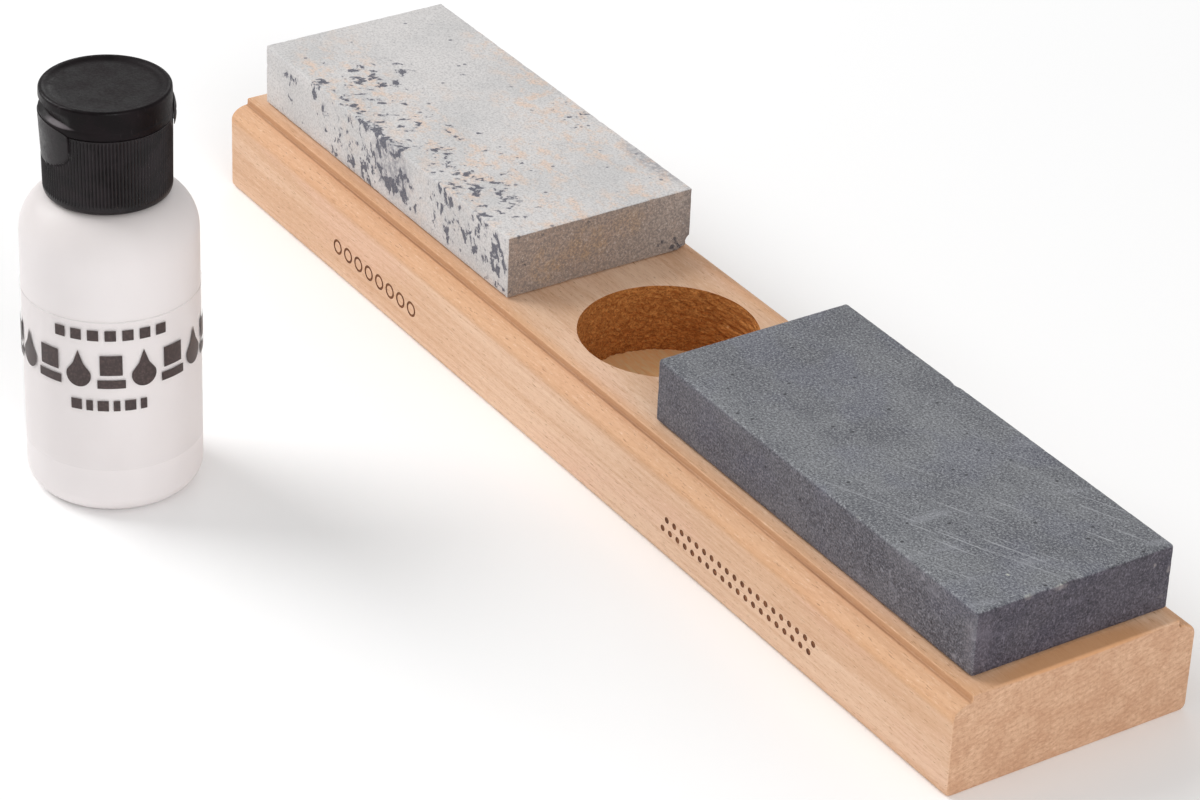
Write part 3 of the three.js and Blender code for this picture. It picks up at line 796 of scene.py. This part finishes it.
def chips(places):
    """Chips at a list of (point, radius, depth), sizes in mm, each with a ragged outline."""
    def depth_at(point):
        deepest = 0.0
        for place, radius, depth in places:
            ragged = radius * MM * (1 + 0.35 * noise.noise(point / MM * 1.3))
            share = 1 - (point - place).length / ragged
            if share > 0:
                deepest = max(deepest, depth * MM * min(1.0, share * 1.6))
        return deepest
    return depth_at


def make_soft_stone():
    low, high = corners_of("soft_stone")
    ease, step, wear = 0.3 * MM, 0.8 * MM, 0.12 * MM
    chip_at = chips([
        (Vector((high.x, high.y, low.z + 0.6 * MM)), 2.2, 0.8),
        (Vector((high.x, high.y - 9 * MM, high.z)), 1.2, 0.3),
        (Vector((low.x + 21 * MM, low.y, high.z)), 1.6, 0.35),
        (Vector((high.x - 31 * MM, low.y, high.z)), 1.1, 0.3),
    ])
    material = soft_stone_material(low, high)
    stone = stone_mesh("soft_oilstone", low, high, ease, step, material, chip_at, wear)
    settle(stone, "block", "soft_stone", "soft_stone")


def make_hard_stone():
    low, high = corners_of("hard_stone")
    ease, step, wear = 0.7 * MM, 0.8 * MM, 0.07 * MM
    chip_at = chips([
        (Vector((high.x, low.y + 19.5 * MM, high.z - 0.6 * MM)), 1.4, 0.25),
        (Vector((high.x, low.y + 13 * MM, high.z - 0.5 * MM)), 1.0, 0.16),
        (Vector((high.x, high.y - 2.5 * MM, high.z - 3 * MM)), 0.8, 0.25),
        (Vector((low.x + 33 * MM, high.y, high.z)), 1.2, 0.3),
    ])
    material = hard_stone_material(low, high)
    stone = stone_mesh("hard_oilstone", low, high, ease, step, material, chip_at, wear)
    settle(stone, "block", "hard_stone", "hard_stone")


def make_glue_bed(node, material):
    """A thin bed of glue whose edge wanders in and out under the stone."""
    low, high = corners_of(node)
    middle = (low + high) / 2
    corners = [(low.x, low.y), (high.x, low.y), (high.x, high.y), (low.x, high.y)]
    wavy = []
    for start, end in zip(corners, corners[1:] + corners[:1]):
        for u, v in rows(start, end, 1.2 * MM)[:-1]:
            inset = 0.35 * MM * (1 + noise.noise(Vector((u, v, 0)) / MM * 0.35))
            inward = Vector((middle.x - u, middle.y - v)).normalized() * inset
            wavy.append((u + inward.x, v + inward.y))
    bm = bmesh.new()
    prism(bm, wavy, low.z, high.z, lambda u, v, depth: (u, v, depth))
    settle(new_object(node.replace("adhesive", "glue_bed"), bm, [material]), "block", "glue", node)


# ---- Bottle ----
BODY_RADIUS = (BOTTLE_HIGH.x - BOTTLE_LOW.x) / 2
WALL = 0.8 * MM
SHOULDER_START = 50.5 * MM
SHOULDER_HEIGHT = 8 * MM
BASE_EDGE = 4 * MM
PUSH_UP = 0.9 * MM
NECK_RADIUS = 9.1 * MM
NECK_BORE = 7 * MM
THREAD_PITCH = 3.175 * MM
THREAD_START = 62.6 * MM
THREAD_TURNS = 1.5
THREAD_DEPTH = 0.85 * MM


def bottle_wall(offset, neck_radius):
    """The outer or inner surface from the middle of the base to the top of the shoulder."""
    body = BODY_RADIUS - offset
    edge = BASE_EDGE - offset / 2
    foot = body - edge
    base = rows((0.0, PUSH_UP + offset), (foot - 2.2 * MM, PUSH_UP + offset), 2 * MM)
    lip = [(foot - 1.4 * MM, PUSH_UP * 0.62 + offset), (foot - 0.7 * MM, PUSH_UP * 0.18 + offset)]
    corner = arc((foot, edge + offset), edge, -90, 0, 12)
    wall = rows((body, edge + offset), (body, SHOULDER_START), 2.2 * MM)[1:-1]
    radii = (body - neck_radius, SHOULDER_HEIGHT - offset)
    shoulder = arc((neck_radius, SHOULDER_START), radii, 0, 90, 18)
    return base + lip + corner + wall + shoulder


def thread_height(angle, z):
    """How far the thread ridge stands out at an angle and height, from 0 to 1."""
    best = 0.0
    for turn in range(2):
        travelled = angle / (2 * math.pi) + turn
        if travelled > THREAD_TURNS:
            continue
        distance = abs(z - (THREAD_START + THREAD_PITCH * travelled))
        fade = min(1.0, travelled / 0.06, (THREAD_TURNS - travelled) / 0.06)
        best = max(best, (1 - smoothstep(0.28 * MM, 0.6 * MM, distance)) * fade)
    return best


def make_bottle():
    outside = bottle_wall(0.0, NECK_RADIUS)
    neck_foot = outside[-1][1]
    thread_foot, thread_top = THREAD_START - 1.2 * MM, BOTTLE_HIGH.z - 2 * MM
    neck = rows((NECK_RADIUS, neck_foot), (NECK_RADIUS, thread_foot), 0.5 * MM)[1:]
    neck += rows((NECK_RADIUS, thread_foot), (NECK_RADIUS, thread_top), 0.18 * MM)[1:]
    ease = 0.3 * MM
    rim = arc((NECK_RADIUS - ease, BOTTLE_HIGH.z - ease), ease, 0, 90, 3)
    rim += arc((NECK_BORE + ease, BOTTLE_HIGH.z - ease), ease, 90, 180, 3)
    inside = bottle_wall(WALL, NECK_BORE)[::-1]
    profile = outside + neck + rim + inside

    def threaded(angle, r, z):
        if abs(r - NECK_RADIUS) < 0.01 * MM and z > neck_foot:
            return r + THREAD_DEPTH * thread_height(angle, z), z
        return r, z

    bottle = turned("bottle_shell", profile, 160, milky_plastic_material(), reshape=threaded)
    settle(bottle, "bottle", "bottle_plastic", "bottle_body")


def make_oil():
    clearance = 0.15 * MM
    level = OIL_LEVEL
    wall = [point for point in bottle_wall(WALL + clearance, NECK_BORE) if point[1] < level - 0.8 * MM]
    edge = wall[-1][0]
    low = level - 0.5 * MM
    meniscus = [(edge, low), (edge, level), (edge - 0.4 * MM, level - 0.25 * MM)]
    meniscus += [(edge - 1.2 * MM, level - 0.45 * MM), (edge - 3 * MM, low), (0.0, low)]
    oil = turned("oil_fill", wall + meniscus, 128, oil_material())
    settle(oil, "bottle", "oil", "honing_oil")


LABEL_RADIUS = BODY_RADIUS + 0.1 * MM
FILM_THICKNESS = 0.14 * MM
INK_THICKNESS = 0.025 * MM
LABEL_FRONT = math.radians(-27.5) # the azimuth that the print is centred on
# The rows of the print: degrees from mark to mark, and the height of the row's middle in mm.
SQUARES_APART, SQUARES_MIDDLE = 11, 37.6
ICONS_APART, ICONS_MIDDLE = 21, 30.7
BARS_APART, BARS_MIDDLE = 8.6, 23.4


def make_label():
    """The clear film, with a slack blister near its top edge where it hasn't stuck down."""
    bottom, top = LABEL_LOW.z, LABEL_HIGH.z
    outer = LABEL_RADIUS + FILM_THICKNESS
    profile = rows((outer, bottom), (outer, top), 1.2 * MM)
    profile += rows((LABEL_RADIUS, top), (LABEL_RADIUS, bottom), 1.2 * MM)

    def slack(angle, r, z):
        across = turn_between(angle, LABEL_FRONT + math.radians(72)) / math.radians(16)
        down = (top - z) / (9 * MM)
        lift = 0.09 * MM * max(0.0, 1 - across * across) * max(0.0, 1 - down * down)
        return r + lift * (1 if r > LABEL_RADIUS + FILM_THICKNESS / 2 else 0.9), z

    label = turned("label_clear_film", profile, 160, film_material(), reshape=slack, closed=True)
    settle(label, "bottle", "label_film", "bottle_label")


def drop_outline(width, height):
    """A drop: round below, pointed above, centred on its box."""
    radius = width / 2
    centre = radius - height / 2
    lower = arc((0, centre), radius, 160, 380, 22)
    flank_u, flank_v = radius * 0.42, centre + radius * 1.05
    return lower + [(flank_u, flank_v), (0, height / 2), (-flank_u, flank_v)]


def bar_outline(width, height):
    u, v = width / 2, height / 2
    return [(-u, -v), (u, -v), (u, v), (-u, v)]


def make_label_print():
    """Generic print round the film: squares, then stones between oil drops, then bars."""
    inner = LABEL_RADIUS + FILM_THICKNESS
    outer = inner + INK_THICKNESS
    low, high = 20 * MM, 41 * MM
    profile = rows((outer, low), (outer, high), 3 * MM) + rows((inner, high), (inner, low), 3 * MM)
    ring = turned("label_print", profile, 192, ink_material(), closed=True)
    bm = bmesh.new()

    def stamp(outline, degrees, z):
        azimuth = LABEL_FRONT + math.radians(degrees)
        across = Vector((-math.sin(azimuth), math.cos(azimuth), 0)) * MM

        def place(u, v, depth):
            return around(BOTTLE_AXIS, azimuth, depth, (z + v) * MM) + across * u

        prism(bm, outline, inner - 0.7 * MM, outer + 0.7 * MM, place)

    for i in range(-3, 4):
        stamp(bar_outline(2.0, 2.1), SQUARES_APART * i, SQUARES_MIDDLE)
    for i in range(-4, 5):
        if i % 2:
            stamp(drop_outline(4.6, 7.4), ICONS_APART * i, ICONS_MIDDLE)
        else:
            stamp(bar_outline(4.0, 4.0), ICONS_APART * i, ICONS_MIDDLE + 0.9)
            stamp(bar_outline(5.0, 1.7), ICONS_APART * i, ICONS_MIDDLE - 2.9)
    for i in range(-3, 3):
        stamp(bar_outline(2.0 if i % 2 else 1.2, 2.1), BARS_APART * i + 3, BARS_MIDDLE)
    cutter = new_object("stamps", bm, [])
    boolean(ring, cutter, "INTERSECT")
    settle(ring, "bottle", "label_film")


# ---- Cap, lid and hinge ----
SKIRT_RADIUS = 11.6 * MM
LID_RADIUS = (LID_HIGH.x - LID_LOW.x) / 2
SKIRT_FOOT_RADIUS = 11.42 * MM
SKIRT_BORE = 10.35 * MM
DECK_TOP = 73.2 * MM
RIB_COUNT = 112
RIB_DEPTH = 0.24 * MM
RIB_STEPS = 8
RIB_FADE = 0.12 * MM
RIBS_START = 1.25 * MM # above the skirt's foot
PAD_HALF = math.radians(33) # the smooth pad at the hinge
PAD_HEIGHT = 3.4 * MM
GROOVE_DEPTH = 0.24 * MM # round the thumb panel
PANEL_HALF = 8.1 * MM # half the thumb panel's width, measured round the cap
PANEL_TOP = 73.1 * MM # at its shoulders
PANEL_ARCH = 1.2 * MM # how far its top arches up into the lid's notch
PANEL_STRAIGHT = 70.3 * MM
PANEL_ROUND = 4.3 * MM
PANEL_RADIUS = 11.8 * MM
PANEL_TAPER = 0.12 * MM # how far it falls back down its straight part
PANEL_SINK = 0.22 * MM # and down its rounded end
ARCH_BAND = 0.2 * MM # the band below the deck that stretches up with the arch
PANEL_INNER = 10.7 * MM # inside of the panel where it stands above the deck
SCOOP_HALF = math.radians(42)
SCOOP_LEDGE = 74.8 * MM # the lip's outer edge, where the nail catches
LIP_SLOPE = 0.55 * MM # how far the lip climbs inwards
LIP_HIGHLIGHT = THUMB_AZIMUTH + math.radians(28) # where a pale patch is painted on the lip as a painted highlight
SCOOP_TOP = 77.2 * MM
SCOOP_DEPTH = 0.95 * MM
# The rings across the lid's top, as shares of the dish's radius.
DISH_RINGS = (1.0, 0.99, 0.975, 0.955, 0.93, 0.9, 0.85, 0.78, 0.65, 0.5, 0.3, 0.12, 0.0)


def panel_top(angle):
    """The height of the thumb panel's arched top at an angle, or of its shoulders beyond it."""
    across = turn_between(angle, THUMB_AZIMUTH) * SKIRT_RADIUS / PANEL_HALF
    return PANEL_TOP + PANEL_ARCH * math.sqrt(max(0.0, 1 - across * across))


def panel_distance(angle, z):
    """Distance outside the thumb panel's outline, negative inside it."""
    s = abs(turn_between(angle, THUMB_AZIMUTH)) * SKIRT_RADIUS
    if z < PANEL_STRAIGHT:
        return (math.hypot(s / PANEL_HALF, (PANEL_STRAIGHT - z) / PANEL_ROUND) - 1) * PANEL_ROUND
    return s - PANEL_HALF


def skirt_point(angle, r, z):
    """The skirt's outside: fine ribs, a smooth thumb panel and a smooth pad at the hinge."""
    if z > DECK_TOP - ARCH_BAND and PANEL_INNER < r:
        z += (panel_top(angle) - PANEL_TOP) * min(1.0, (z - DECK_TOP + ARCH_BAND) / ARCH_BAND)
    if r < SKIRT_FOOT_RADIUS - 0.3 * MM:
        return r, z
    from_edge = min(z - (CAP_LOW.z + RIBS_START), DECK_TOP - RIB_FADE - z)
    panel = panel_distance(angle, z)
    pad_across = turn_between(angle, HINGE_AZIMUTH) / PAD_HALF
    near_hinge = math.hypot(pad_across, (z - HINGE_POINT.z) / PAD_HEIGHT)
    ribbed = smoothstep(0, RIB_FADE, from_edge)
    ribbed *= smoothstep(0.0, RIB_FADE, panel - 0.22 * MM) * smoothstep(0.96, 1.04, near_hinge)
    ridge = 0.5 + 0.5 * math.cos(angle * RIB_COUNT)
    r -= RIB_DEPTH * (1 - ridge ** 0.8) * ribbed
    groove = smoothstep(0.0, 0.08 * MM, panel) * (1 - smoothstep(0.2 * MM, 0.3 * MM, panel))
    r -= GROOVE_DEPTH * groove
    inside = 1 - smoothstep(-0.08 * MM, 0.02 * MM, panel)
    proud = PANEL_RADIUS - PANEL_TAPER * min(1.0, (PANEL_TOP - z) / (PANEL_TOP - PANEL_STRAIGHT))
    if z < PANEL_STRAIGHT:
        proud -= PANEL_SINK * min(1.0, (PANEL_STRAIGHT - z) / PANEL_ROUND)
    return r + (proud - r) * inside, z


def make_cap():
    """The screw cap: its skirt outside and in, its deck and the spout with its orifice."""
    deck_bottom, spout_top = SEAL_HIGH.z, CAP_HIGH.z
    spout_radius, orifice = 2.8 * MM, 1.6 * MM
    ease, lip, fillet, foot_round = 0.18 * MM, 0.25 * MM, 0.5 * MM, (0.5 * MM, 1.3 * MM)
    foot = CAP_LOW.z + foot_round[1]
    outer = arc((SKIRT_RADIUS - ease, DECK_TOP - ease), ease, 90, 0, 3)
    outer += rows((SKIRT_RADIUS, DECK_TOP - ease), (SKIRT_FOOT_RADIUS, foot), 0.3 * MM)[1:]
    outer += arc((SKIRT_FOOT_RADIUS - foot_round[0], foot), foot_round, -8, -84, 6)
    inner = rows((SKIRT_BORE, CAP_LOW.z + 0.05 * MM), (SKIRT_BORE, deck_bottom), 1.2 * MM)
    underside = rows((SKIRT_BORE, deck_bottom), (orifice, deck_bottom), 4 * MM)[1:]
    spout = arc((orifice + lip, spout_top - lip), lip, 180, 90, 3)
    spout += arc((spout_radius - lip, spout_top - lip), lip, 90, 0, 3)
    spout += arc((spout_radius + fillet, DECK_TOP + fillet), fillet, 180, 270, 4)
    deck = rows((spout_radius + 1 * MM, DECK_TOP), (PANEL_INNER - 0.05 * MM, DECK_TOP), 2.4 * MM)
    deck += [(PANEL_INNER + 0.05 * MM, DECK_TOP)]
    profile = outer + inner + underside + spout + deck
    segments = RIB_COUNT * RIB_STEPS
    cap = turned("cap_ribbed_skirt", profile, segments, CAP_BLACK, reshape=skirt_point, closed=True)
    settle(cap, "closure", "black_plastic", "cap_body")


def lid_point(angle, r, z):
    """The lid's wall: notched over the thumb panel, and scooped above the lip that a nail lifts."""
    notch = panel_top(angle) + 0.15 * MM
    if notch > z and panel_top(angle) > PANEL_TOP:
        z = notch
    across = turn_between(angle, THUMB_AZIMUTH) / SCOOP_HALF
    if abs(across) >= 1 or not SCOOP_LEDGE < z < SCOOP_TOP or r < LID_RADIUS - 0.5 * MM:
        return r, z
    slope = min(1.0, (z - SCOOP_LEDGE) / LIP_SLOPE)
    climb = max(0.0, (z - SCOOP_LEDGE - LIP_SLOPE) / (SCOOP_TOP - SCOOP_LEDGE - LIP_SLOPE))
    return r - SCOOP_DEPTH * (1 - across * across) ** 0.6 * slope * (1 - climb ** 1.6), z


def make_lid():
    """The flip lid: a shallow dish on top, a rounded rim, and the pin that plugs the spout."""
    top, pin_end = LID_HIGH.z, LID_LOW.z
    seam, wall, dish, edge, pin = 73.36 * MM, 1.3 * MM, 0.6 * MM, 0.55 * MM, 1.15 * MM
    pin_round, pin_root, corner, inner_bevel, bevel = 0.3 * MM, 0.4 * MM, 0.5 * MM, 0.1 * MM, 0.12 * MM
    bore, ceiling = LID_RADIUS - wall, top - dish - wall
    # The wall leans in as it rises.
    ledge_radius, scoop_radius, top_radius = (LID_RADIUS - lean * MM for lean in (0.02, 0.05, 0.08))
    profile = [(0.0, pin_end)]
    profile += arc((pin - pin_round, pin_end + pin_round), pin_round, -90, 0, 4)
    profile += arc((pin + pin_root, ceiling - pin_root), pin_root, 180, 90, 3)
    profile += arc((bore - corner, ceiling - corner), corner, 90, 0, 4)
    profile += [(bore, seam + inner_bevel), (bore + inner_bevel, seam)]
    profile += [(LID_RADIUS - bevel, seam), (LID_RADIUS, seam + bevel)]
    profile += rows((LID_RADIUS, seam + 0.5 * MM), (LID_RADIUS, SCOOP_LEDGE - 0.05 * MM), 0.4 * MM)
    profile += [(ledge_radius, SCOOP_LEDGE)]
    profile += rows((ledge_radius, SCOOP_LEDGE + 0.01 * MM), (scoop_radius, SCOOP_TOP), 0.15 * MM)
    profile += rows((scoop_radius, SCOOP_TOP + 0.2 * MM), (top_radius, top - edge), 0.5 * MM)
    profile += arc((top_radius - edge, top - edge), edge, 10, 90, 7)
    rim = top_radius - edge - 0.1 * MM
    for share in DISH_RINGS:
        sunk = smoothstep(1.0, 0.86, share) if share < 1 else 0.0
        profile.append((rim * share, top - dish * sunk * (1 - 0.3 * share * share)))
    lid = turned("lid_flip_top", profile, 224, LID_BLACK, reshape=lid_point)
    settle(lid, "lid", "black_plastic", "cap_lid")


def hinge_sheet(bm, middle, half_height, radius_at):
    """One face of the hinge strap, as columns of vertices round the bottle's axis."""
    half_angle = math.radians(24)
    columns, levels = 28, 22
    sheet = []
    for i in range(columns + 1):
        u = 2 * i / columns - 1
        angle = HINGE_AZIMUTH + u * half_angle
        fit = math.sqrt(max(0.0, 1 - 0.55 * u * u)) # the strap's ends are rounded
        column = []
        for j in range(levels + 1):
            v = 2 * j / levels - 1
            height = middle + v * half_height * fit
            column.append(bm.verts.new(around(BOTTLE_AXIS, angle, radius_at(u, v), height)))
        sheet.append(column)
    return sheet


def rim_of(sheet):
    """The vertices round a sheet's edge, in order."""
    top = [column[-1] for column in sheet]
    bottom = [column[0] for column in sheet]
    return sheet[0] + top[1:-1] + sheet[-1][::-1] + bottom[-2:0:-1]


def make_hinge():
    """The living hinge: a thin strap that bows out between the cap and the lid."""
    low, high = corners_of("hinge_strap")
    inner_radius, rim_radius, bow, thinning = 11.8 * MM, 11.86 * MM, 0.42 * MM, 0.16 * MM

    def outer_radius(u, v):
        across = 1 - u ** 4
        return rim_radius + (bow * (1 - v * v) ** 0.8 - thinning * math.exp(-((v / 0.12) ** 2))) * across

    bm = bmesh.new()
    middle, half_height = (low.z + high.z) / 2, (high.z - low.z) / 2
    outer = hinge_sheet(bm, middle, half_height, outer_radius)
    inner = hinge_sheet(bm, middle, half_height, lambda u, v: inner_radius)
    for sheet in (outer, inner):
        for near, far in zip(sheet, sheet[1:]):
            bridge(bm, near, far, closed=False)
    bridge(bm, rim_of(outer), rim_of(inner))
    strap = new_object("hinge_living_strap", bm, [LID_BLACK])
    shade(strap)
    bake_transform(strap)
    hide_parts("hinge_strap")


def make_seal_ring():
    """The foam liner under the cap's deck, with its edges eased."""
    ease = 0.15 * MM
    outer, inner = (SEAL_HIGH.x - SEAL_LOW.x) / 2 - ease, 2.2 * MM + ease
    bottom, top = SEAL_LOW.z + ease, SEAL_HIGH.z - ease
    corners = ((outer, bottom), (outer, top), (inner, top), (inner, bottom))
    profile = []
    for turn, corner in enumerate(corners):
        profile += arc(corner, ease, 90 * turn - 90, 90 * turn, 3)
    ring = turned("seal_foam_ring", profile, 96, foam_material(), closed=True)
    settle(ring, "cap_carrier", "seal_foam", "cap_seal_ring")


# ---- Floor, light and camera ----

def make_floor():
    s = Shader("pale_floor")
    mottle = s.noise(400, detail=2)
    color = s.layer((0.965, 0.965, 0.965), (0.985, 0.985, 0.985), mottle, 0.3, 0.7)
    material = s.finish(color, 0.9, Specular_IOR_Level=0.0)
    bm = bmesh.new()
    bmesh.ops.create_grid(bm, x_segments=1, y_segments=1, size=4.0)
    floor = new_object("floor", bm, [material])
    floor.location.z = cad_bounds[0][2] - 0.02 * MM


def add_area_light(name, place, target, size, watts):
    data = bpy.data.lights.new(name, "AREA")
    data.shape = "DISK"
    data.size = size
    data.energy = watts
    light = bpy.data.objects.new(name, data)
    light.location = place
    light.rotation_mode = "QUATERNION"
    light.rotation_quaternion = (Vector(place) - Vector(target)).to_track_quat("Z", "Y")
    bpy.context.scene.collection.objects.link(light)


def make_light():
    world = bpy.data.worlds.new("studio")
    world.use_nodes = True
    background = world.node_tree.nodes["Background"]
    background.inputs["Color"].default_value = (1, 1, 1, 1)
    background.inputs["Strength"].default_value = 0.5
    bpy.context.scene.world = world
    middle = (0, -0.02, 0) # between the block and the bottle
    add_area_light("key", (-1.1, -0.75, 1.1), middle, size=1.1, watts=18.4)
    add_area_light("fill", (1.3, -0.25, 0.6), middle, size=1.0, watts=8.8)
    add_area_light("back", (-1.14, 0.77, 0.82), (0, 0, 0), size=0.6, watts=1.6)
    bpy.context.scene.view_settings.view_transform = "Standard"


CAMERA_PLACE = (0.53622, -0.37778, 0.39667)
CAMERA_AZIMUTH = math.radians(55.87)
CAMERA_ELEVATION = math.radians(30.9)
CAMERA_ROLL = math.radians(2.44)
CAMERA_LENS = 122.46


def make_camera():
    data = bpy.data.cameras.new("camera")
    data.sensor_width = 36
    data.lens = CAMERA_LENS
    data.clip_start, data.clip_end = 0.01, 20
    camera = bpy.data.objects.new("camera", data)
    level = math.cos(CAMERA_ELEVATION)
    back = Vector((
        math.sin(CAMERA_AZIMUTH) * level, -math.cos(CAMERA_AZIMUTH) * level, math.sin(CAMERA_ELEVATION)
    ))
    right = Vector((math.cos(CAMERA_AZIMUTH), math.sin(CAMERA_AZIMUTH), 0))
    up = back.cross(right)
    rolled_right = right * math.cos(CAMERA_ROLL) + up * math.sin(CAMERA_ROLL)
    rolled_up = up * math.cos(CAMERA_ROLL) - right * math.sin(CAMERA_ROLL)
    turn = Matrix((rolled_right, rolled_up, back)).transposed()
    camera.matrix_world = Matrix.Translation(CAMERA_PLACE) @ turn.to_4x4()
    bpy.context.scene.collection.objects.link(camera)
    bpy.context.scene.camera = camera


# ---- Build ----
make_camera()
make_light()
make_floor()
LID_BLACK = black_plastic_material("lid_black_plastic", (0.003, 0.0015, 0.002), 0.13)
CAP_BLACK = black_plastic_material("cap_black_plastic", (0.008, 0.006, 0.0068), 0.24)
make_block()
make_soft_stone()
make_hard_stone()
GLUE = glue_material()
make_glue_bed("soft_stone_adhesive", GLUE)
make_glue_bed("hard_stone_adhesive", GLUE)
make_bottle()
make_oil()
make_label()
make_label_print()
make_cap()
make_lid()
make_hinge()
make_seal_ring()

bpy.context.view_layer.update()
